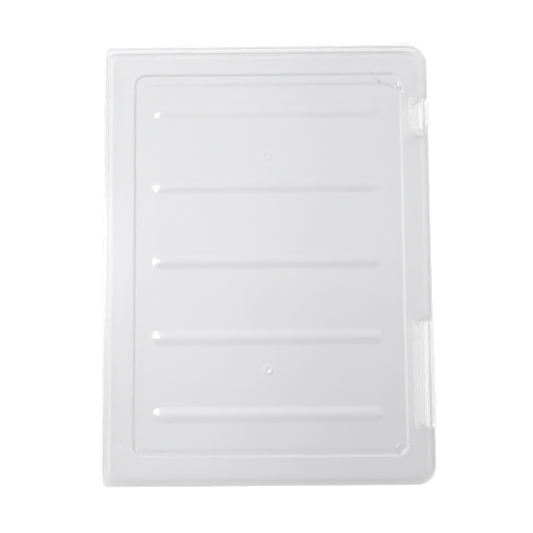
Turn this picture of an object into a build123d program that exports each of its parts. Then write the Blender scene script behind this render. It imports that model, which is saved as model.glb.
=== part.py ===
from build123d import *
import math
import os

# A flat box for A4 papers, moulded from translucent polypropylene, lying closed on its
# base. X runs from the hinge to the latches, Y along the hinge and Z up.
# All sizes are in millimetres.

# The closed box
box_length = 310.0
box_width = 230.0
box_height = 22.0
latch_side_corner_radius = 14.0
hinge_side_corner_radius = 5.0

# The two moulded shells
shell_wall = 1.4
parting_height = 14.0
parting_gap = 0.2
base_foot_radius = 2.8
base_inner_radius = 1.4
lid_edge_radius = 2.6
lid_inner_radius = 1.2

# The rim of the base, with a lip that stands up inside the lid's skirt
skirt_clearance = 0.3
lip_thickness = 1.2
lip_height = 2.3
rim_band_height = 2.6

# The pressed frame: a panel that lies lower in the lid, and one that is the foot of the base
frame_from_hinge_edge = 22.0
frame_from_latch_edge = 19.1
frame_from_near_end = 20.1
frame_from_far_end = 22.3
frame_corner_radius = 8.5
frame_step = 0.8
frame_slope = 1.7
foot_frame_inset = 0.2

# The stiffening ribs pressed up from the lid
rib_count = 5
rib_pitch = 53.0
rib_length = 161.0
rib_width = 13.0
rib_height = 0.8
rib_foot_sink = 0.02

# The two injection marks on the lid: a low mound with a dish, and the cut stub of the gate in it
gate_spacing = 149.0
gate_mound_radius = 4.0
gate_mound_height = 0.4
gate_dish_radius = 2.4
gate_dish_depth = 0.45
gate_stub_radius = 0.7
gate_stub_height = 0.2

# The finger recesses in the latch side of the base
recess_depth = 7.2
recess_corner_radius = 4.0
recess_mouth_radius = 2.5
recess_lid_clearance = 0.3
short_recess_from_far_end = 51.5
short_recess_length = 24.0
long_recess_from_near_end = 75.3
long_recess_length = 74.5

# The rail that each latch hooks under, across the mouth of its recess
catch_rail_bottom = 8.2
catch_rail_height = 2.6
catch_rail_width = 1.8
catch_rail_setback = 0.3
catch_rail_edge_radius = 0.4

# The latches: angled flaps that hang from the lid on thin webs
short_latch_length = 18.2
long_latch_length = 69.6
latch_proud = 1.5
latch_wall = 1.4
latch_root_inset = 3.6
latch_bottom = 5.0
latch_outer_radius = 2.8
latch_inner_radius = 1.2
latch_end_radius = 2.5
latch_end_gap = 0.4
hook_depth = 1.5
hook_land = 0.8
hook_clearance = 0.3
latch_web_length = 1.2
latch_web_thickness = 0.4
latch_web_sink = 0.25

# The living hinge: a thin web that loops out from the parting line of the hinge side
hinge_web_length = 300.0
hinge_web_thickness = 0.45
hinge_loop_radius = 3.0


# Places that follow from the sizes
hinge_bulge = hinge_loop_radius + hinge_web_thickness / 2
shell_x = (hinge_bulge - latch_proud) / 2
hinge_edge_x = shell_x - box_width / 2
latch_edge_x = shell_x + box_width / 2
lip_inset = shell_wall + skirt_clearance
rim_inset = lip_inset + lip_thickness
skirt_bottom = parting_height + parting_gap
lid_top_underside = box_height - shell_wall
panel_top = box_height - frame_step
frame_centre_y = (frame_from_near_end - frame_from_far_end) / 2
short_recess_centre_y = box_length / 2 - short_recess_from_far_end
long_recess_centre_y = long_recess_from_near_end - box_length / 2
recesses = (
    (short_recess_centre_y, short_recess_length),
    (long_recess_centre_y, long_recess_length),
)
latches = (
    (short_recess_centre_y, short_latch_length),
    (long_recess_centre_y, long_latch_length),
)
hinge_axis_x = hinge_edge_x - math.pi / 2 * hinge_loop_radius
hinge_axis_z = parting_height + parting_gap / 2
latch_root_x = latch_edge_x - latch_root_inset
latch_axis_x = latch_root_x - latch_web_length / 2
latch_axis_z = box_height - latch_web_sink - latch_web_thickness / 2


def rounded_plan(x_low, x_high, y_low, y_high, low_radius, high_radius):
    """A rectangle in plan, with one corner radius at low X and another at high X."""
    plan = Pos((x_low + x_high) / 2, (y_low + y_high) / 2) * Rectangle(x_high - x_low, y_high - y_low)
    plan = fillet(plan.vertices().group_by(Axis.X)[0], low_radius)
    return fillet(plan.vertices().group_by(Axis.X)[-1], high_radius)


def box_plan(inset=0.0):
    """The outline of the closed box from above, drawn in by inset."""
    half_length = box_length / 2 - inset
    return rounded_plan(
        hinge_edge_x + inset,
        latch_edge_x - inset,
        -half_length,
        half_length,
        hinge_side_corner_radius - inset,
        latch_side_corner_radius - inset,
    )


def frame_plan(inset=0.0):
    """The outline of the pressed frame from above, drawn in by inset."""
    radius = frame_corner_radius - inset
    return rounded_plan(
        hinge_edge_x + frame_from_hinge_edge + inset,
        latch_edge_x - frame_from_latch_edge - inset,
        frame_from_near_end - box_length / 2 + inset,
        box_length / 2 - frame_from_far_end - inset,
        radius,
        radius,
    )


def recess_plan(centre_y, length):
    """The outline of one finger recess, open past the latch side."""
    plan = Pos(latch_edge_x, centre_y) * Rectangle(2 * recess_depth, length)
    return fillet(plan.vertices().group_by(Axis.X)[0], recess_corner_radius)


def tray_plan():
    """The outline of the base: the box, less its finger recesses, with rounded mouths."""
    plan = box_plan()
    for centre_y, length in recesses:
        plan -= recess_plan(centre_y, length)
        for end_y in (centre_y - length / 2, centre_y + length / 2):
            corner = plan.vertices().sort_by_distance((latch_edge_x, end_y, 0))[0]
            plan = fillet(corner, recess_mouth_radius)
    return plan


def slab(plan, z_low, z_high):
    """A plan drawn up from one height to another."""
    return extrude(Pos(0, 0, z_low) * plan, z_high - z_low)


def frame_slab(z_low, z_high, inset_low, inset_high):
    """A block over the pressed frame, with sides that slope between two insets."""
    sections = [Pos(0, 0, z_low) * frame_plan(inset_low), Pos(0, 0, z_high) * frame_plan(inset_high)]
    return loft(sections)


def block(x_low, x_high, y_low, y_high, z_low, z_high):
    """A box between two corners."""
    size = (x_high - x_low, y_high - y_low, z_high - z_low)
    place = Pos((x_low + x_high) / 2, (y_low + y_high) / 2, (z_low + z_high) / 2)
    return place * Box(*size)


def rounded_at(shape, z, radius):
    """A shape with the edges that lie at one height rounded."""
    return fillet(shape.edges().filter_by_position(Axis.Z, z, z), radius)


def catch_rail(centre_y, length):
    """The bar across the mouth of a recess, tied into the wall at each end."""
    x_high = latch_edge_x - catch_rail_setback
    half = length / 2 + recess_mouth_radius
    rail = block(
        x_high - catch_rail_width,
        x_high,
        centre_y - half,
        centre_y + half,
        catch_rail_bottom,
        catch_rail_bottom + catch_rail_height,
    )
    return fillet(rail.edges().filter_by(Axis.Y), catch_rail_edge_radius)


def make_base_tray():
    """The deeper shell, with its foot, rim, recess walls and catch rails."""
    plan = tray_plan()
    cavity_plan = offset(plan, -shell_wall)
    rim_inner_plan = cavity_plan & box_plan(rim_inset)
    lip_plan = (plan & box_plan(lip_inset)) - rim_inner_plan

    tray = rounded_at(slab(plan, frame_step, parting_height), frame_step, base_foot_radius)
    floor = frame_step + shell_wall
    cavity = rounded_at(slab(cavity_plan, floor, parting_height), floor, base_inner_radius)
    tray -= cavity
    foot_inset = foot_frame_inset + frame_slope
    tray += frame_slab(0, frame_step, foot_inset, foot_frame_inset)
    tray -= frame_slab(shell_wall, floor, foot_inset + shell_wall / 2, foot_frame_inset + shell_wall / 2)

    tray += slab(plan - rim_inner_plan, parting_height - rim_band_height, parting_height)
    tray += slab(lip_plan, parting_height, parting_height + lip_height)
    wall_top = lid_top_underside - recess_lid_clearance
    for centre_y, length in recesses:
        half = length / 2 + shell_wall
        near_recess = block(
            latch_edge_x - recess_depth - shell_wall,
            latch_edge_x - rim_inset,
            centre_y - half,
            centre_y + half,
            parting_height,
            wall_top,
        )
        tray += slab(lip_plan, parting_height, wall_top) & near_recess
        tray += catch_rail(centre_y, length)
    return tray


def rib(plane_z):
    """A low soft rib on a plane, whose round crest runs out into the plane through hollow flanks."""
    half_width = rib_width / 2
    rise = rib_height + rib_foot_sink
    steepest = 2 * math.atan(rise / half_width)
    radius = half_width / 2 / math.sin(steepest)
    foot_z = plane_z - rib_foot_sink
    turn = radius * math.sin(steepest / 2)
    drop = radius * (1 - math.cos(steepest / 2))
    crest = (0, foot_z + rise)
    knee = (half_width / 2, foot_z + rise / 2)
    outline = [
        ThreePointArc(crest, (turn, crest[1] - drop), knee),
        ThreePointArc(knee, (half_width - turn, foot_z + drop), (half_width, foot_z)),
        Polyline((half_width, foot_z), (half_width, plane_z - shell_wall), (0, plane_z - shell_wall), crest),
    ]
    across = Plane(origin=(0, 0, 0), x_dir=(0, 1, 0), z_dir=(1, 0, 0))
    flank = across * make_face(outline)
    half_straight = rib_length / 2 - half_width
    bar = extrude(flank, half_straight, both=True)
    bar += mirror(bar, Plane.XZ)
    end = Pos(half_straight, 0, 0) * revolve(flank, Axis.Z, -180)
    return bar + end + mirror(end, Plane.YZ)


def cap(radius, height):
    """A low spherical cap that stands on the plane Z = 0, with as much of its ball below."""
    ball_radius = (radius**2 + height**2) / (2 * height)
    lens_plan = block(-radius, radius, -radius, radius, -height, height)
    return Pos(0, 0, height - ball_radius) * Sphere(ball_radius) & lens_plan


def gate_mark(lid, y):
    """A lid with one injection mark on its panel."""
    place = Pos(shell_x, y, panel_top)
    lid += place * cap(gate_mound_radius, gate_mound_height)
    dish = Pos(0, 0, gate_mound_height) * mirror(cap(gate_dish_radius, gate_dish_depth), Plane.XY)
    lid -= place * dish
    stub = Cylinder(gate_stub_radius, gate_stub_height + gate_dish_depth)
    return lid + place * Pos(0, 0, gate_mound_height - gate_dish_depth + gate_stub_height / 2) * stub


def make_lid_cover():
    """The shallow shell, with its pressed frame, ribs, gate marks and latch openings."""
    lid = rounded_at(slab(box_plan(), skirt_bottom, box_height), box_height, lid_edge_radius)
    cavity = slab(box_plan(shell_wall), skirt_bottom, lid_top_underside)
    lid -= rounded_at(cavity, lid_top_underside, lid_inner_radius)

    lid -= frame_slab(panel_top, box_height, frame_slope, 0)
    underside = lid_top_underside - frame_step
    lid += frame_slab(underside, lid_top_underside, frame_slope - shell_wall / 2, -shell_wall / 2)
    mound = rib(panel_top)
    hollow = rib(underside)
    for i in range(rib_count):
        place = Pos(shell_x, (i - (rib_count - 1) / 2) * rib_pitch)
        lid += place * mound
        lid -= place * hollow
    for side in (-1, 1):
        lid = gate_mark(lid, frame_centre_y + side * gate_spacing / 2)

    for centre_y, length in latches:
        half = length / 2 + latch_end_gap
        lid -= block(
            latch_root_x - latch_web_length,
            latch_edge_x + latch_proud,
            centre_y - half,
            centre_y + half,
            parting_height,
            box_height + shell_wall,
        )
    return lid


def make_latch(centre_y, length):
    """A flap that comes over the lid's edge and hooks under the rail of the base."""
    x_outer = latch_edge_x + latch_proud
    x_inner = x_outer - latch_wall
    hook_top = catch_rail_bottom - hook_clearance
    hook_low = hook_top - hook_land
    hook_x = x_inner - hook_depth
    section = Polyline(
        (latch_root_x, box_height),
        (x_outer, box_height),
        (x_outer, latch_bottom),
        (x_inner, latch_bottom),
        (x_inner, hook_low - hook_depth),
        (hook_x, hook_low),
        (hook_x, hook_top),
        (x_inner, hook_top),
        (x_inner, box_height - latch_wall),
        (latch_root_x, box_height - latch_wall),
        close=True,
    )
    profile = make_face(section)
    outer_corner = profile.vertices().sort_by_distance((x_outer, box_height, 0))[0]
    profile = fillet(outer_corner, latch_outer_radius)
    inner_corner = profile.vertices().sort_by_distance((x_inner, box_height - latch_wall, 0))[0]
    profile = fillet(inner_corner, latch_inner_radius)
    upright = Plane(origin=(0, centre_y, 0), x_dir=(1, 0, 0), z_dir=(0, -1, 0))
    flap = extrude(upright * profile, length / 2, both=True)

    side_height = box_height - latch_bottom
    front = Rectangle(length, side_height)
    front = fillet(front.vertices().group_by(Axis.Y)[0], latch_end_radius)
    facing = Plane(origin=(latch_edge_x, centre_y, latch_bottom + side_height / 2), x_dir=(0, 1, 0), z_dir=(1, 0, 0))
    return flap & extrude(facing * front, 2 * latch_root_inset, both=True)


def make_latch_web(centre_y, length):
    """The thin strip on which a latch swings, sunk a little below the lid's face."""
    z_high = box_height - latch_web_sink
    return block(
        latch_root_x - latch_web_length,
        latch_root_x,
        centre_y - length / 2,
        centre_y + length / 2,
        z_high - latch_web_thickness,
        z_high,
    )


def make_hinge_web():
    """The living hinge, folded into a half round loop between the two shells."""
    outer = Circle(hinge_loop_radius + hinge_web_thickness / 2)
    loop = outer - Circle(hinge_loop_radius - hinge_web_thickness / 2)
    half = Pos(-hinge_bulge, 0) * Rectangle(2 * hinge_bulge, 4 * hinge_bulge)
    upright = Plane(origin=(hinge_edge_x, 0, hinge_axis_z), x_dir=(1, 0, 0), z_dir=(0, -1, 0))
    return extrude(upright * (loop & half), hinge_web_length / 2, both=True)


parts = {
    "base_tray": make_base_tray(),
    "lid_cover": make_lid_cover(),
    "lid_hinge_web": make_hinge_web(),
}
for name, (centre_y, length) in zip(("short", "long"), latches):
    parts[f"latch_flap_{name}"] = make_latch(centre_y, length)
    parts[f"latch_web_{name}"] = make_latch_web(centre_y, length)

os.makedirs("parts", exist_ok=True)
for name, part in parts.items():
    export_step(part, f"parts/{name}.step")

print("lid hinge axis", round(hinge_axis_x, 3), 0, round(hinge_axis_z, 3))
print("latch axis", round(latch_axis_x, 3), round(latch_axis_z, 3))
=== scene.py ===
import math

import bpy
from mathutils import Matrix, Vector


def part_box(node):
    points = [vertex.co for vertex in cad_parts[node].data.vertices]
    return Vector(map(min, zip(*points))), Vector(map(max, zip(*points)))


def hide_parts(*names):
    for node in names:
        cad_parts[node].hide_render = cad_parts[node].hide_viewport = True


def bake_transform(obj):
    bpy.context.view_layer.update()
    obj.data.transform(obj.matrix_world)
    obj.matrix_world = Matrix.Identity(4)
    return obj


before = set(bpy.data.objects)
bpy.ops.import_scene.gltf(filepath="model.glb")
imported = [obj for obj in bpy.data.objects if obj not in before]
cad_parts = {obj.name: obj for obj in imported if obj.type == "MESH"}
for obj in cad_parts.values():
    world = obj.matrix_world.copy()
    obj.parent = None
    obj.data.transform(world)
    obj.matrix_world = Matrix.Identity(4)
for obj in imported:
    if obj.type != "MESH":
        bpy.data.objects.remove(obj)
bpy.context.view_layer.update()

bl_info = {
    "name": "Translucent File Box",
    "version": (1, 0, 0),
    "blender": (4, 5, 0),
    "location": "3D View > Sidebar > File Box",
    "description": "Finishes a flat polypropylene box for A4 papers and sets it on a white floor",
    "category": "Object",
}

MM = 0.001
WEB_LOW, WEB_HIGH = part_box("lid_hinge_web")
LID_LOW, LID_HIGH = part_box("lid_cover")
LATCHES = ("short", "long")
WHITE = (1, 1, 1, 1)

# A distance that is outside the box, for zones that are open at one side.
OUTSIDE = 1.0
# The clearer plastic before a latch: how far it starts and ends before the flap, how far it
# goes past the flap's ends, and the softness of its edges.
HALO_SETBACK = 11.5 * MM
RECESS_SETBACK = 4.0 * MM
RECESS_END = 2.4 * MM
ZONE_BLUR = 0.5 * MM
# The rounded foot of the walls, up to this height, where a painted shade darkens the near and the
# far wall, and the softness of its upper edge.
FOOT_HEIGHT = 3.2 * MM
FOOT_BLUR = 0.2 * MM

# How upright the normal is where a wall turns into a panel, and on the slope of a frame.
LEVEL_FACES = (0.55, 0.9)
FRAME_SLOPE = (0.86, 0.96)
SLOPE_BLUR = 0.012
# The slant beyond which milkiness grows no more.
LEAST_COSINE = 0.3
# How fast the mirroring grows towards a grazing view, and what it comes to there.
GRAZING_POWER = 5.0
GRAZING_SHINE = 0.8
# How many finer layers of waves there are in the panels.
WAVE_DETAIL = 2.0

# Points in the full circle that the lid's hinge is bent from, the share of its radius by
# which a point may be out of line, and the fold lines as degrees from its outermost line.
LOOP_POINTS = 96
LOOP_TOLERANCE = 0.01
FOLD_ANGLES = (-70, 0, 70)
# The rounding of the hinge's two ends, as degrees of a quarter turn.
END_TURNS = (20, 35, 50, 70, 90)
# Parts into which a latch's strip is cut across, so that it can bend.
STRIP_CUTS = 12
# A web's edges are rounded in so many steps where they turn by more degrees than the first
# angle, and shaded smooth where they turn by less than the second.
EDGE_SEGMENTS = 2
BEVEL_ANGLE = 50
SMOOTH_ANGLE = 35

# The floor lies this far under the foot, so that their faces don't coincide.
FLOOR_DROP = 0.05 * MM
SENSOR_WIDTH = 36.0

# Marks on the lid, in mm: start and end in X and Y, half width, and depth, which is less
# than nothing for a ridge. A crease by the far latch in three runs, a spot, the arc and the
# streak in the near corner, and two scuffs.
DENTS = (
    ((73.5, 133.2), (81.8, 126.5), 1.7, 0.5),
    ((81.8, 126.5), (91.5, 122.7), 1.5, 0.42),
    ((93.5, 124.4), (97.4, 117.6), 1.5, 0.5),
    ((84.6, 111.5), (84.8, 111.2), 1.7, 0.25),
    ((87.5, -135.3), (96.7, -126.0), 1.5, 0.4),
    ((87.6, -129.9), (91.1, -126.6), 1.3, -0.24),
    ((-66.5, 37.6), (-64.7, 34.1), 1.4, 0.05),
    ((-103.1, -123.7), (-98.6, -127.5), 2.0, 0.2),
)


def linear_colour(code):
    """Turns an sRGB hex code into the linear colour that Blender's sockets take."""
    channels = [int(code[i : i + 2], 16) / 255 for i in (1, 3, 5)]
    return [c / 12.92 if c <= 0.04045 else ((c + 0.055) / 1.055) ** 2.4 for c in channels]


def add_node(tree, kind, inputs=(), **settings):
    """Adds a node. Each input is paired with a value, or with the output that feeds it."""
    node = tree.nodes.new(kind)
    for name, value in settings.items():
        setattr(node, name, value)
    for socket, value in dict(inputs).items():
        if isinstance(value, bpy.types.NodeSocket):
            tree.links.new(value, node.inputs[socket])
        else:
            node.inputs[socket].default_value = value
    return node


def calculate(tree, operation, *values):
    """Adds a node that does one sum on up to three numbers."""
    return add_node(tree, "ShaderNodeMath", enumerate(values), operation=operation).outputs[0]


def vector_math(tree, operation, inputs):
    """Adds a node that does one sum on vectors, and hands back all its outputs."""
    return add_node(tree, "ShaderNodeVectorMath", inputs, operation=operation).outputs


def mix_values(tree, factor, first, second):
    """Adds a node that goes from one number to another."""
    inputs = {"Factor": factor, 2: first, 3: second}
    return add_node(tree, "ShaderNodeMix", inputs).outputs["Result"]


def remap(tree, value, low=0.0, high=1.0, to_low=0.0, to_high=1.0, **settings):
    """Adds a node that maps one range of a number onto another and stops at its ends."""
    inputs = {
        "Value": value, "From Min": low, "From Max": high, "To Min": to_low, "To Max": to_high
    }
    return add_node(tree, "ShaderNodeMapRange", inputs, **settings).outputs["Result"]


def axis_of(tree, vector, axis):
    """Adds a node that takes one axis out of a vector."""
    return add_node(tree, "ShaderNodeSeparateXYZ", {0: vector}).outputs[axis]


def inside(tree, value, low, high, blur):
    """Is 1 where a value lies between two bounds, with soft edges."""
    rise = remap(tree, value, low - blur, low + blur)
    fall = remap(tree, value, high - blur, high + blur, 1.0, 0.0)
    return calculate(tree, "MULTIPLY", rise, fall)


def new_material(name):
    """An empty node material that this script fills."""
    material = bpy.data.materials.new(name)
    material.use_nodes = True
    material.node_tree.nodes.clear()
    return material


class PlasticSettings(bpy.types.PropertyGroup):
    """The natural polypropylene of the two shells and the latches."""

    tint: bpy.props.FloatVectorProperty(
        name="Tint",
        description="Colour of the milky part of the plastic",
        subtype="COLOR",
        default=linear_colour("#C9C9CB"),
    )
    # Painted shade: upright walls and rounded edges get this darker tint so that their bands show
    # darker.
    painted_edge_shade_tint: bpy.props.FloatVectorProperty(
        name="Edge Tint",
        description="The same for walls and rounded edges, where one looks through more plastic",
        subtype="COLOR",
        default=linear_colour("#A2A2A4"),
    )
    haze: bpy.props.FloatProperty(
        name="Haze",
        description="How much of the light a panel scatters, seen square on",
        subtype="FACTOR",
        min=0.0,
        max=1.0,
        default=0.5,
    )
    wall_haze: bpy.props.FloatProperty(
        name="Wall Haze",
        description="The same for upright walls, which the mould polishes as it opens",
        subtype="FACTOR",
        min=0.0,
        max=1.0,
        default=0.04,
    )
    # Painted highlight: a clearer strip along the hinge lets more of the white floor through, so
    # that side shows brighter.
    hinge_highlight_haze: bpy.props.FloatProperty(
        name="Clear Haze",
        description="The same for the thin spine by the hinge",
        subtype="FACTOR",
        min=0.0,
        max=1.0,
        default=0.09,
    )
    # Painted shade: at the foot of the near and the far wall the milky colour shows in place of
    # what lies behind, a dark line like a contact shadow.
    painted_foot_shade: bpy.props.FloatProperty(
        name="Far Haze",
        description="Share of the light that the foot of the near and of the far wall takes away",
        subtype="FACTOR",
        min=0.0,
        max=1.0,
        default=1.0,
    )
    # Painted shade: on the slope of a frame the milky colour shows, a dark line along it.
    painted_slope_shade: bpy.props.FloatProperty(
        name="Step Haze",
        description="The same for the slope of the pressed frames",
        subtype="FACTOR",
        min=0.0,
        max=1.0,
        default=0.05,
    )
    step_roughness: bpy.props.FloatProperty(
        name="Step Roughness",
        description="Roughness of the narrow slope of a frame, where the mould is rounded",
        subtype="FACTOR",
        min=0.0,
        max=1.0,
        default=0.4,
    )
    # Width of the painted highlight strip along the hinge.
    hinge_highlight_width: bpy.props.FloatProperty(
        name="Spine Width",
        description="Width of the clear strip of plastic along the hinge",
        unit="LENGTH",
        default=2.0 * MM,
    )
    halo_clearness: bpy.props.FloatProperty(
        name="Halo Clearness",
        description="How far the shells beside the latches come near to the clearness of the spine",
        subtype="FACTOR",
        min=0.0,
        max=1.0,
        default=0.42,
    )
    latch_haze: bpy.props.FloatProperty(
        name="Latch Haze",
        description="How much of the light a latch scatters, seen square on",
        subtype="FACTOR",
        min=0.0,
        max=1.0,
        default=0.22,
    )
    glow_share: bpy.props.FloatProperty(
        name="Glow Share",
        description="How much of the scattered light comes through from behind",
        subtype="FACTOR",
        min=0.0,
        max=1.0,
        default=0.5,
    )
    warp_size: bpy.props.FloatProperty(
        name="Warp Size",
        description="Width of the shallow waves in the thin panels",
        unit="LENGTH",
        default=14 * MM,
    )
    warp_depth: bpy.props.FloatProperty(
        name="Warp Depth",
        description="Depth of the shallow waves in the thin panels",
        unit="LENGTH",
        default=0.05 * MM,
    )
    shine_roughness: bpy.props.FloatProperty(
        name="Shine Roughness",
        description="Roughness of the polished moulded face",
        subtype="FACTOR",
        min=0.0,
        max=1.0,
        default=0.18,
    )
    shine_share: bpy.props.FloatProperty(
        name="Shine Share",
        description="How much a wall mirrors, seen square on, by its two faces together",
        subtype="FACTOR",
        min=0.0,
        max=1.0,
        default=0.1,
    )


class HingeSettings(bpy.types.PropertyGroup):
    """The thin webs on which the lid and the latches swing."""

    web_thickness: bpy.props.FloatProperty(
        name="Web Thickness",
        description="Thickness of the lid's living hinge",
        unit="LENGTH",
        default=0.45 * MM,
    )
    fold_thickness: bpy.props.FloatProperty(
        name="Fold Thickness",
        description="Share of the thickness that is left along a fold line",
        subtype="FACTOR",
        min=0.0,
        max=1.0,
        default=0.55,
    )
    fold_width: bpy.props.FloatProperty(
        name="Fold Width",
        description="Width of the groove on each side of a fold line",
        unit="LENGTH",
        default=0.5 * MM,
    )
    edge_round: bpy.props.FloatProperty(
        name="Edge Round",
        description="Rounding of the edges of the thin webs",
        unit="LENGTH",
        default=0.09 * MM,
    )
    haze: bpy.props.FloatProperty(
        name="Haze",
        description="How much of the light the thin plastic scatters, seen square on",
        subtype="FACTOR",
        min=0.0,
        max=1.0,
        default=0.12,
    )
    whitening: bpy.props.FloatProperty(
        name="Whitening",
        description="How white the plastic has gone where it folds",
        subtype="FACTOR",
        min=0.0,
        max=1.0,
        default=0.4,
    )


class StudioSettings(bpy.types.PropertyGroup):
    """The white floor, the lamps and the camera above the box."""

    camera_place: bpy.props.FloatVectorProperty(
        name="Camera Place",
        description="Place of the camera",
        unit="LENGTH",
        default=(2.0 * MM, -42.9 * MM, 540.2 * MM),
    )
    camera_tilt: bpy.props.FloatVectorProperty(
        name="Camera Tilt",
        description="Turn of the camera about X, Y and Z from looking straight down",
        subtype="EULER",
        default=(math.radians(4.264), math.radians(0.209), math.radians(-0.468)),
    )
    lens: bpy.props.FloatProperty(
        name="Lens",
        description="Focal length in millimetres for a 36 mm sensor",
        default=50.56,
    )
    softbox_height: bpy.props.FloatProperty(
        name="Softbox Height",
        description="Height of the lowest of the wide softboxes over the floor",
        unit="LENGTH",
        default=2.8,
    )
    softbox_step: bpy.props.FloatProperty(
        name="Softbox Step",
        description="How much higher each next wide softbox hangs",
        unit="LENGTH",
        default=0.03,
    )
    softbox_reach: bpy.props.FloatProperty(
        name="Softbox Reach",
        description="How far out the wide softboxes go where they have no edge of their own",
        unit="LENGTH",
        default=4.6,
    )
    band_edges: bpy.props.FloatVectorProperty(
        name="Band Edges",
        description="Where the near edges of the three softboxes over the far end are",
        default=(-1.3, -0.35, 0.1),
    )
    near_share: bpy.props.FloatProperty(
        name="Near Share",
        description="Brightness of the near softbox, as a share of the other two over the far end",
        subtype="FACTOR",
        default=0.8,
    )
    left_edges: bpy.props.FloatVectorProperty(
        name="Left Edges",
        description="Where the edges of the two softboxes over the hinge side are",
        size=2,
        default=(-0.15, 0.17),
    )
    band_radiance: bpy.props.FloatProperty(
        name="Band Radiance",
        description="Brightness of each softbox that reaches over the far end, where 1 is white",
        default=0.38,
    )
    left_radiance: bpy.props.FloatProperty(
        name="Left Radiance",
        description="Brightness of each softbox that reaches over the hinge side",
        default=0.38,
    )
    side_place: bpy.props.FloatVectorProperty(
        name="Side Place",
        description="Place of the small softbox at the hinge side",
        unit="LENGTH",
        default=(-0.75, 0.14, 1.6),
    )
    side_size: bpy.props.FloatProperty(
        name="Side Size",
        description="Length of the sides of the small softbox",
        unit="LENGTH",
        default=0.35,
    )
    side_radiance: bpy.props.FloatProperty(
        name="Side Radiance",
        description="Brightness of the small softbox",
        default=8.0,
    )
    ambient: bpy.props.FloatProperty(
        name="Ambient",
        description="Level of the light that comes from all round",
        default=0.05,
    )
    fill: bpy.props.FloatProperty(
        name="Fill",
        description="Level of the light that seeps through the milky walls and has no shadow",
        default=0.14,
    )
    floor_size: bpy.props.FloatProperty(
        name="Floor Size",
        description="Length of the sides of the white floor",
        unit="LENGTH",
        default=3.0,
    )
    floor_lift: bpy.props.FloatProperty(
        name="Floor Lift",
        description="White that the camera sees on the floor on top of its lit colour",
        subtype="FACTOR",
        default=0.44,
    )


def clear_parts(tree, place, plastic):
    """Is 1 on a clearer strip along the hinge, a painted highlight on the side that the lamps
    light, and a share of that in the shells beside the recesses of the two latches."""
    along_x, along_y = axis_of(tree, place, "X"), axis_of(tree, place, "Y")
    clear = inside(tree, along_x, -OUTSIDE, LID_LOW[0] + plastic.hinge_highlight_width, ZONE_BLUR)
    for latch in LATCHES:
        low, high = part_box(f"latch_flap_{latch}")
        before = inside(tree, along_x, low[0] - HALO_SETBACK, low[0] - RECESS_SETBACK, ZONE_BLUR)
        beside = inside(tree, along_y, low[1] - RECESS_END, high[1] + RECESS_END, ZONE_BLUR)
        halo = calculate(tree, "MULTIPLY", before, beside)
        halo = calculate(tree, "MULTIPLY", halo, plastic.halo_clearness)
        clear = calculate(tree, "MAXIMUM", clear, halo)
    return clear


def dent(tree, level, start, end, width):
    """Is 1 along a line on the lid and falls softly to 0 at a width from it."""
    start, end = (Vector((x * MM, y * MM, 0)) for x, y in (start, end))
    run = end - start
    offset = vector_math(tree, "SUBTRACT", {0: level, 1: start})["Vector"]
    along = vector_math(tree, "DOT_PRODUCT", {0: offset, 1: run / run.length_squared})["Value"]
    along = add_node(tree, "ShaderNodeClamp", {"Value": along}).outputs[0]
    foot = vector_math(tree, "SCALE", {0: run, "Scale": along})["Vector"]
    gap = vector_math(tree, "DISTANCE", {0: offset, 1: foot})["Value"]
    return remap(tree, gap, 0.0, width * MM, 1.0, 0.0, interpolation_type="SMOOTHSTEP")


def surface_height(tree, place, plastic, dents):
    """The shallow waves of the panels, less the dents and creases that use has left on the lid,
    in depths of a wave."""
    height = add_node(
        tree, "ShaderNodeTexNoise",
        {"Vector": place, "Scale": 1 / plastic.warp_size, "Detail": WAVE_DETAIL},
    ).outputs["Fac"]
    if dents:
        level = vector_math(tree, "MULTIPLY", {0: place, 1: (1, 1, 0)})["Vector"]
        for start, end, width, depth in dents:
            mark = dent(tree, level, start, end, width)
            height = calculate(tree, "MULTIPLY_ADD", mark, -depth * MM / plastic.warp_depth, height)
    return height


def square_on_share(tree, place, plastic, level_face, haze, whitening, zones):
    """The share of the light that goes straight through a wall, seen square on."""
    share = mix_values(tree, level_face, 1 - min(haze, plastic.wall_haze), 1 - haze)
    if zones:
        share = mix_values(tree, clear_parts(tree, place, plastic), share, 1 - plastic.hinge_highlight_haze)
    fold = add_node(tree, "ShaderNodeAttribute", attribute_name="fold").outputs["Fac"]
    unfolded = remap(tree, fold, to_low=1.0, to_high=1 - whitening)
    return calculate(tree, "MULTIPLY", share, unfolded)


def near_face_share(tree, square_on, facing, lamp_ray):
    """The share of the light that passes the face of a wall that is met first, by its slant.
    For rays to a lamp the slant is left out."""
    cosine = calculate(tree, "SUBTRACT", 1.0, facing)
    cosine = calculate(tree, "MAXIMUM", cosine, LEAST_COSINE)
    path = calculate(tree, "DIVIDE", 1.0, cosine)
    slanting = calculate(tree, "POWER", square_on, path)
    return mix_values(tree, lamp_ray, slanting, square_on)


def far_face_share(tree, place, plastic, own_normal, frame_slope, lamp_ray):
    """The share of the light that passes the far face of a wall. At the foot of the near and of the
    far wall and on the slope of a frame some is taken away as painted shade, so that the milky
    colour shows there as dark lines; rays to a lamp lose none."""
    along_y = calculate(tree, "ABSOLUTE", axis_of(tree, own_normal, "Y"))
    # Painted shade at the foot of the near and the far wall.
    foot = inside(tree, axis_of(tree, place, "Z"), -OUTSIDE, FOOT_HEIGHT, FOOT_BLUR)
    foot = calculate(tree, "MULTIPLY", foot, along_y)
    foot = calculate(tree, "MULTIPLY", foot, plastic.painted_foot_shade)
    # Painted shade along the slope of a frame.
    slope_shade = calculate(tree, "MULTIPLY", frame_slope, plastic.painted_slope_shade)
    painted_shade = calculate(tree, "MAXIMUM", foot, slope_shade)
    sees = calculate(tree, "SUBTRACT", 1.0, lamp_ray)
    painted_shade = calculate(tree, "MULTIPLY", painted_shade, sees)
    return calculate(tree, "SUBTRACT", 1.0, painted_shade)


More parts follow.
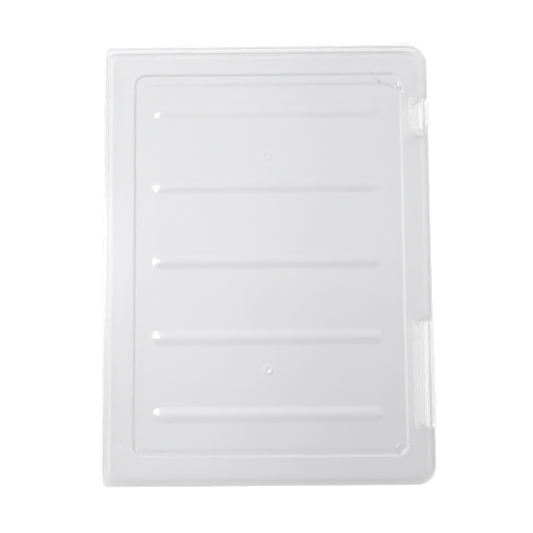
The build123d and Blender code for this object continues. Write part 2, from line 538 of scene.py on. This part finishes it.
def polypropylene(name, haze, whitening=0.0, dents=(), zones=False):
    """Natural polypropylene, injection moulded in a polished mould: clear but milky, so it
    greys what lies under it, is denser where a wall is seen edge on, and has a soft gloss.
    The gloss of a wall and nearly all its milkiness are on the face that is seen first.
    Along a fold the plastic is stretched and turns white."""
    plastic = bpy.context.scene.file_box_plastic
    material = new_material(name)
    material.use_backface_culling = True
    tree = material.node_tree
    coordinates = add_node(tree, "ShaderNodeTexCoord").outputs
    place, own_normal = coordinates["Object"], coordinates["Normal"]
    far_face = add_node(tree, "ShaderNodeNewGeometry").outputs["Backfacing"]
    lamp_ray = add_node(tree, "ShaderNodeLightPath").outputs["Is Shadow Ray"]
    # With a blend of a half this is 1 less the cosine of the slant.
    facing = add_node(tree, "ShaderNodeLayerWeight", {"Blend": 0.5}).outputs["Facing"]
    upward = calculate(tree, "ABSOLUTE", axis_of(tree, own_normal, "Z"))
    level_face = remap(tree, upward, *LEVEL_FACES)
    frame_slope = inside(tree, upward, *FRAME_SLOPE, SLOPE_BLUR)

    square_on = square_on_share(tree, place, plastic, level_face, haze, whitening, zones)
    clear = mix_values(
        tree, far_face,
        near_face_share(tree, square_on, facing, lamp_ray),
        far_face_share(tree, place, plastic, own_normal, frame_slope, lamp_ray),
    )
    height = surface_height(tree, place, plastic, dents)
    warp = add_node(
        tree, "ShaderNodeBump", {"Height": height, "Distance": plastic.warp_depth, "Strength": 1.0}
    ).outputs["Normal"]
    # On upright faces the tint goes over to the darker edge tint: painted shade on walls and
    # rounded edges.
    tint = add_node(
        tree, "ShaderNodeMix",
        {"Factor": level_face, 6: (*plastic.painted_edge_shade_tint, 1), 7: (*plastic.tint, 1)}, data_type="RGBA",
    ).outputs[2]
    milk = add_node(tree, "ShaderNodeBsdfDiffuse", {"Color": tint, "Normal": warp}).outputs[0]
    glow = add_node(tree, "ShaderNodeBsdfTranslucent", {"Color": tint, "Normal": warp}).outputs[0]
    body = add_node(
        tree, "ShaderNodeMixShader", {0: plastic.glow_share, 1: milk, 2: glow}
    ).outputs[0]
    window = add_node(tree, "ShaderNodeBsdfTransparent").outputs[0]
    film = add_node(tree, "ShaderNodeMixShader", {0: clear, 1: body, 2: window}).outputs[0]

    grazing = calculate(tree, "POWER", facing, GRAZING_POWER)
    mirror_share = remap(tree, grazing, to_low=plastic.shine_share, to_high=GRAZING_SHINE)
    near_face = calculate(tree, "SUBTRACT", 1.0, far_face)
    mirror_share = calculate(tree, "MULTIPLY", mirror_share, near_face)
    roughness = remap(
        tree, frame_slope, to_low=plastic.shine_roughness, to_high=plastic.step_roughness
    )
    shine = add_node(
        tree, "ShaderNodeBsdfGlossy", {"Color": WHITE, "Roughness": roughness, "Normal": warp}
    ).outputs[0]
    surface = add_node(tree, "ShaderNodeMixShader", {0: mirror_share, 1: film, 2: shine}).outputs[0]
    add_node(tree, "ShaderNodeOutputMaterial", {"Surface": surface})
    return material


def dress(node, material):
    """Gives a CAD node its finish."""
    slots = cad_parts[node].data.materials
    slots.clear()
    slots.append(material)


class FILEBOX_OT_shells(bpy.types.Operator):
    """Finish the base and the lid in natural polypropylene"""

    bl_idname = "filebox.shells"
    bl_label = "Finish Shells"

    def execute(self, context):
        haze = context.scene.file_box_plastic.haze
        dress("base_tray", polypropylene("base_polypropylene", haze, zones=True))
        dress("lid_cover", polypropylene("lid_polypropylene", haze, dents=DENTS, zones=True))
        return {"FINISHED"}


class FILEBOX_OT_latches(bpy.types.Operator):
    """Finish the two latch flaps"""

    bl_idname = "filebox.latches"
    bl_label = "Finish Latches"

    def execute(self, context):
        material = polypropylene("latch_polypropylene", context.scene.file_box_plastic.latch_haze)
        for latch in LATCHES:
            dress(f"latch_flap_{latch}", material)
        return {"FINISHED"}


def edit(piece):
    """Opens one piece for editing, with all of it selected."""
    bpy.ops.object.select_all(action="DESELECT")
    piece.select_set(True)
    bpy.context.view_layer.objects.active = piece
    bpy.ops.object.mode_set(mode="EDIT")
    bpy.ops.mesh.select_all(action="SELECT")


def leave():
    """Closes the piece that is being edited."""
    bpy.ops.object.mode_set(mode="OBJECT")


def pick_points(piece, wanted):
    """Selects the points of a piece for which wanted is true, and nothing else."""
    bpy.ops.mesh.select_mode(type="VERT")
    bpy.ops.mesh.select_all(action="DESELECT")
    leave()
    for point in piece.data.vertices:
        point.select = wanted(point.co)
    bpy.ops.object.mode_set(mode="EDIT")


def fold_share(distance, width):
    """Is 1 on a fold line and falls smoothly to 0 at the fold's width from it."""
    near = max(0.0, 1 - abs(distance) / width)
    return near * near * (3 - 2 * near)


def mark_folds(piece, share_at):
    """Writes how near each point of a piece is to a fold, for its thickness and its whitening."""
    marks = piece.data.attributes.new("fold", "FLOAT", "POINT")
    for point, mark in zip(piece.data.vertices, marks.data):
        mark.value = share_at(point.co)


def add_modifier(piece, kind, **settings):
    """Adds a modifier to a piece and applies it."""
    modifier = piece.modifiers.new(kind.lower(), kind)
    for name, value in settings.items():
        setattr(modifier, name, value)
    bpy.context.view_layer.objects.active = piece
    bpy.ops.object.modifier_apply(modifier=modifier.name)


def thicken(piece, share_at, thickness, offset, hinge):
    """Gives an open sheet its thickness, which is less along its folds, and marks the folds."""
    mark_folds(piece, share_at)
    wall = piece.vertex_groups.new(name="wall")
    for point in piece.data.vertices:
        wall.add([point.index], 1 - share_at(point.co) * (1 - hinge.fold_thickness), "REPLACE")
    add_modifier(
        piece, "SOLIDIFY", thickness=thickness, offset=offset, vertex_group="wall",
        use_even_offset=True,
    )
    piece.vertex_groups.clear()


def finish_web(piece, name, material, node, hinge):
    """Rounds a web's edges, settles its place and lets it stand for its CAD node."""
    add_modifier(
        piece, "BEVEL", width=hinge.edge_round, segments=EDGE_SEGMENTS, limit_method="ANGLE",
        angle_limit=math.radians(BEVEL_ANGLE),
    )
    piece.name = name
    piece.data.name = name
    bpy.ops.object.select_all(action="DESELECT")
    piece.select_set(True)
    bpy.context.view_layer.objects.active = piece
    bpy.ops.object.transform_apply(location=True, rotation=True, scale=True)
    bpy.ops.object.shade_smooth_by_angle(angle=math.radians(SMOOTH_ANGLE))
    piece.data.materials.append(material)
    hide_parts(node)


class FILEBOX_OT_hinge_web(bpy.types.Operator):
    """Model the living hinge that joins the lid to the base"""

    bl_idname = "filebox.hinge_web"
    bl_label = "Model Hinge Web"

    def execute(self, context):
        hinge = context.scene.file_box_hinge
        middle_z = (WEB_LOW[2] + WEB_HIGH[2]) / 2
        radius = (WEB_HIGH[2] - WEB_LOW[2] - hinge.web_thickness) / 2
        bpy.ops.object.select_all(action="DESELECT")
        bpy.ops.mesh.primitive_circle_add(
            vertices=LOOP_POINTS, radius=radius, location=(0, 0, 0), rotation=(math.pi / 2, 0, 0)
        )
        web = context.object
        bpy.ops.object.transform_apply(location=True, rotation=True, scale=True)
        edit(web)
        bpy.ops.transform.translate(value=(WEB_HIGH[0], WEB_LOW[1], middle_z))
        pick_points(web, lambda place: place.x > WEB_HIGH[0] + radius * LOOP_TOLERANCE)
        bpy.ops.mesh.delete(type="VERT")
        bpy.ops.mesh.select_all(action="SELECT")
        reach = WEB_HIGH[0] - WEB_LOW[0]
        turns = [math.radians(angle) for angle in END_TURNS]
        rounding = [(reach * (1 - math.cos(turn)), math.sin(turn)) for turn in turns]
        first = rounding[0][0]
        near_end = [(WEB_LOW[1] + along - first, share) for along, share in rounding]
        far_end = [(WEB_HIGH[1] - along + first, share) for along, share in reversed(rounding)]
        place_y, out = WEB_LOW[1], 1.0
        for next_y, next_out in near_end + far_end:
            if next_y > place_y:
                bpy.ops.mesh.extrude_region_move(
                    TRANSFORM_OT_translate={"value": (0, next_y - place_y, 0)}
                )
            bpy.ops.transform.resize(
                value=(next_out / out, 1, 1), center_override=(WEB_HIGH[0], next_y, middle_z)
            )
            place_y, out = next_y, next_out
        bpy.ops.mesh.select_all(action="SELECT")
        bpy.ops.mesh.normals_make_consistent(inside=False)
        leave()

        fold_angles = [math.radians(angle) for angle in FOLD_ANGLES]

        def share_at(place):
            angle = math.atan2(place.z - middle_z, WEB_HIGH[0] - place.x)
            gaps = [(angle - fold) * radius for fold in fold_angles]
            return max(fold_share(gap, hinge.fold_width) for gap in gaps)

        thicken(web, share_at, hinge.web_thickness, 0.0, hinge)
        material = polypropylene("living_hinge_polypropylene", hinge.haze, hinge.whitening)
        finish_web(web, "hinge_web", material, "lid_hinge_web", hinge)
        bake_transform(web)
        return {"FINISHED"}


class FILEBOX_OT_latch_webs(bpy.types.Operator):
    """Model the two thin strips on which the latches swing"""

    bl_idname = "filebox.latch_webs"
    bl_label = "Model Latch Webs"

    def execute(self, context):
        hinge = context.scene.file_box_hinge
        material = polypropylene("latch_hinge_polypropylene", hinge.haze, hinge.whitening)
        for latch in LATCHES:
            node = f"latch_web_{latch}"
            low, high = (Vector(corner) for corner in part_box(node))
            size = high - low
            middle = (low + high) / 2
            bpy.ops.object.select_all(action="DESELECT")
            bpy.ops.mesh.primitive_plane_add(size=1.0, location=(middle.x, middle.y, high.z))
            strip = context.object
            bpy.ops.transform.resize(
                value=(size.x, size.y, 1), center_override=(middle.x, middle.y, high.z)
            )
            bpy.ops.object.transform_apply(location=True, rotation=True, scale=True)
            edit(strip)
            for cut in range(1, STRIP_CUTS):
                bpy.ops.mesh.select_all(action="SELECT")
                bpy.ops.mesh.bisect(
                    plane_co=(low.x + size.x * cut / STRIP_CUTS, middle.y, middle.z),
                    plane_no=(1, 0, 0),
                )
            leave()

            fold_width = size.x / 3

            def share_at(place):
                return fold_share(place.x - middle.x, fold_width)

            thicken(strip, share_at, size.z, -1.0, hinge)
            finish_web(strip, f"latch_hinge_{latch}", material, node, hinge)
            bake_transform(strip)
        return {"FINISHED"}


class FILEBOX_OT_studio(bpy.types.Operator):
    """Lay the white floor, hang the lamps and place the camera"""

    bl_idname = "filebox.studio"
    bl_label = "Set Up Studio"

    def execute(self, context):
        studio = context.scene.file_box_studio
        lay_floor(studio)
        light_world(studio)
        hang_lamps(studio)
        place_camera(studio)
        context.scene.view_settings.view_transform = "Standard"
        return {"FINISHED"}


def straight_rays(tree):
    """Is 1 for the rays by which the camera sees something, also in a gloss or through glass,
    and 0 for those that milky plastic scatters."""
    rays = add_node(tree, "ShaderNodeLightPath").outputs
    seen = calculate(tree, "MAXIMUM", rays["Is Camera Ray"], rays["Is Glossy Ray"])
    seen = calculate(tree, "MAXIMUM", seen, rays["Is Transmission Ray"])
    unscattered = calculate(tree, "SUBTRACT", 1.0, rays["Is Diffuse Ray"])
    return calculate(tree, "MULTIPLY", seen, unscattered)


def lay_floor(studio):
    """A white floor just under the foot, whose shadows stay but whose open parts are white."""
    bpy.ops.object.select_all(action="DESELECT")
    bpy.ops.mesh.primitive_plane_add(size=studio.floor_size, location=(0, 0, -FLOOR_DROP))
    floor = bpy.context.object
    floor.name = "studio_floor"
    bpy.ops.object.transform_apply(location=True, rotation=True, scale=True)
    material = new_material("white_paper_floor")
    tree = material.node_tree
    paper = (*linear_colour("#F9F9F9"), 1)
    lit = add_node(tree, "ShaderNodeBsdfDiffuse", {"Color": paper}).outputs[0]
    share = calculate(tree, "MULTIPLY", straight_rays(tree), studio.floor_lift)
    plain = add_node(tree, "ShaderNodeEmission", {"Color": WHITE, "Strength": share}).outputs[0]
    surface = add_node(tree, "ShaderNodeAddShader", {0: lit, 1: plain}).outputs[0]
    add_node(tree, "ShaderNodeOutputMaterial", {"Surface": surface})
    floor.data.materials.append(material)


def light_world(studio):
    """A white surround that the camera and gloss see, and that lights softly."""
    world = bpy.data.worlds.new("white_surround")
    bpy.context.scene.world = world
    world.use_nodes = True
    tree = world.node_tree
    tree.nodes.clear()
    soft = add_node(
        tree, "ShaderNodeBackground", {"Color": WHITE, "Strength": studio.ambient}
    ).outputs[0]
    white = add_node(tree, "ShaderNodeBackground", {"Color": WHITE, "Strength": 1.0}).outputs[0]
    light = add_node(
        tree, "ShaderNodeMixShader", {0: straight_rays(tree), 1: soft, 2: white}
    ).outputs[0]
    add_node(tree, "ShaderNodeOutputWorld", {"Surface": light})


def hang_lamp(name, place, aim, width, height, radiance):
    """Hangs a rectangular softbox that points at a place."""
    lamp = bpy.data.lights.new(name, "AREA")
    lamp.shape = "RECTANGLE"
    lamp.size = width
    lamp.size_y = height
    lamp.energy = math.pi * width * height * radiance
    holder = bpy.data.objects.new(name, lamp)
    holder.location = place
    holder.rotation_euler = (Vector(aim) - Vector(place)).to_track_quat("-Z", "Y").to_euler()
    bpy.context.scene.collection.objects.link(holder)


def hang_lamps(studio):
    """Wide softboxes overlap, three over the far end and two over the hinge side, so that what
    the box mirrors fades in steps towards its near end and its latches. Each hangs a little
    higher than the last. A small one at the hinge side gives the glints on the ribs, and a
    lamp without shadow stands for the light that seeps through the milky walls."""
    up, reach = studio.softbox_height, studio.softbox_reach
    band, left = studio.band_radiance, studio.left_radiance
    near_edge, middle_edge, far_edge = studio.band_edges
    hinge_edge, centre_edge = studio.left_edges
    for name, radiance, high_x, low_y in (
        ("near_softbox", band * studio.near_share, reach, near_edge),
        ("middle_softbox", band, reach, middle_edge),
        ("far_softbox", band, reach, far_edge),
        ("hinge_softbox", left, hinge_edge, -reach),
        ("centre_softbox", left, centre_edge, -reach),
    ):
        middle = ((high_x - reach) / 2, (low_y + reach) / 2)
        hang_lamp(name, (*middle, up), (*middle, 0), high_x + reach, reach - low_y, radiance)
        up += studio.softbox_step
    size = studio.side_size
    hang_lamp("side_softbox", studio.side_place, (0, 0, 0), size, size, studio.side_radiance)
    fill = bpy.data.lights.new("seeping_fill", "SUN")
    fill.energy = math.pi * studio.fill
    fill.use_shadow = False
    holder = bpy.data.objects.new("seeping_fill", fill)
    holder.location = (0, 0, up)
    holder.visible_glossy = False
    bpy.context.scene.collection.objects.link(holder)


def place_camera(studio):
    """The camera hangs over the box, a little towards its near end, and looks down."""
    camera = bpy.data.cameras.new("overhead_camera")
    camera.lens = studio.lens
    camera.sensor_width = SENSOR_WIDTH
    holder = bpy.data.objects.new("overhead_camera", camera)
    holder.location = studio.camera_place
    holder.rotation_euler = studio.camera_tilt
    bpy.context.scene.collection.objects.link(holder)
    bpy.context.scene.camera = holder


class FILEBOX_PT_panel(bpy.types.Panel):
    """Lists the steps that finish the box"""

    bl_idname = "FILEBOX_PT_panel"
    bl_label = "File Box"
    bl_space_type = "VIEW_3D"
    bl_region_type = "UI"
    bl_category = "File Box"

    def draw(self, context):
        for operator in OPERATORS:
            self.layout.operator(operator.bl_idname)


SETTINGS = {
    "file_box_plastic": PlasticSettings,
    "file_box_hinge": HingeSettings,
    "file_box_studio": StudioSettings,
}
OPERATORS = (
    FILEBOX_OT_shells,
    FILEBOX_OT_latches,
    FILEBOX_OT_hinge_web,
    FILEBOX_OT_latch_webs,
    FILEBOX_OT_studio,
)
CLASSES = (*SETTINGS.values(), *OPERATORS, FILEBOX_PT_panel)


def register():
    """Makes the settings, the steps and the panel known to Blender."""
    for item in CLASSES:
        bpy.utils.register_class(item)
    for name, group in SETTINGS.items():
        setattr(bpy.types.Scene, name, bpy.props.PointerProperty(type=group))


def unregister():
    """Takes them away again."""
    for name in SETTINGS:
        delattr(bpy.types.Scene, name)
    for item in reversed(CLASSES):
        bpy.utils.unregister_class(item)


def main():
    """Runs every step."""
    register()
    bpy.ops.filebox.shells()
    bpy.ops.filebox.latches()
    bpy.ops.filebox.hinge_web()
    bpy.ops.filebox.latch_webs()
    bpy.ops.filebox.studio()
    bpy.context.view_layer.update()


if __name__ == "__main__":
    main()
